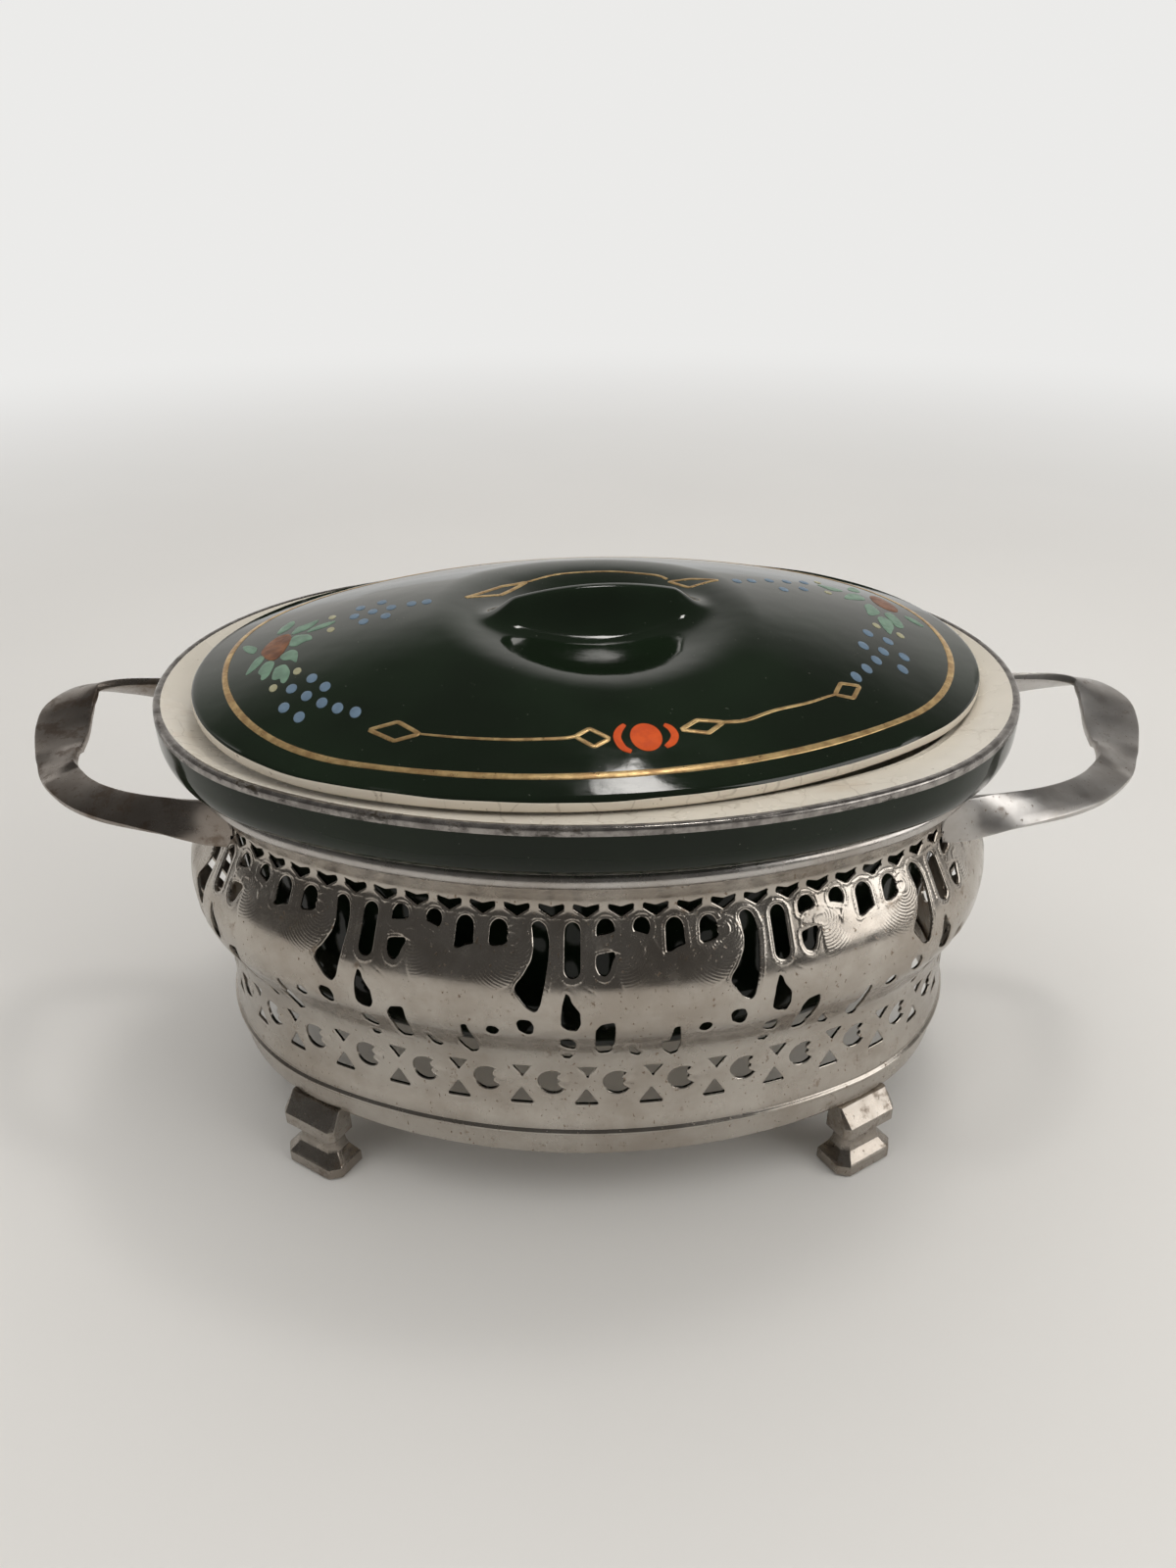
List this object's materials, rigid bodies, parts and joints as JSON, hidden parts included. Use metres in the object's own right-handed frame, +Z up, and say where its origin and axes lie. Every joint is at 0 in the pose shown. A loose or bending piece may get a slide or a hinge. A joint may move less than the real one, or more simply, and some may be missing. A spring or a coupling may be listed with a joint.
{
  "type": "covered casserole in a pierced stand",
  "caption": "Oval covered casserole of dark glazed earthenware that lifts out of a pierced plated metal serving stand with loop handles and bracket feet.",
  "frame": {"origin": "middle of the footprint, on the surface the feet stand on", "axes": "+Z up, +X along the long axis towards the right handle, +Y towards the back"},
  "size_m": [0.3596, 0.189, 0.1656],
  "materials": {
    "green_glaze": "gloss",
    "nickel_plate": "satin",
    "cast_nickel": "satin"
  },
  "bodies": {
    "stand": {"pierced_gallery": "nickel_plate", "rim_bead": "nickel_plate", "base_band": "nickel_plate", "left_handle": "nickel_plate", "right_handle": "nickel_plate", "front_left_foot": "cast_nickel", "front_right_foot": "cast_nickel", "back_left_foot": "cast_nickel", "back_right_foot": "cast_nickel"},
    "dish": {"casserole_dish": "green_glaze"},
    "lid": {"lid": "green_glaze"}
  },
  "joints": [
    {"name": "dish_lift", "type": "slide", "parent": "stand", "child": "dish", "axis": [0, 0, 1], "range_m": [0, 0.1]},
    {"name": "lid_lift", "type": "slide", "parent": "dish", "child": "lid", "axis": [0, 0, 1], "range_m": [0, 0.06]}
  ]
}
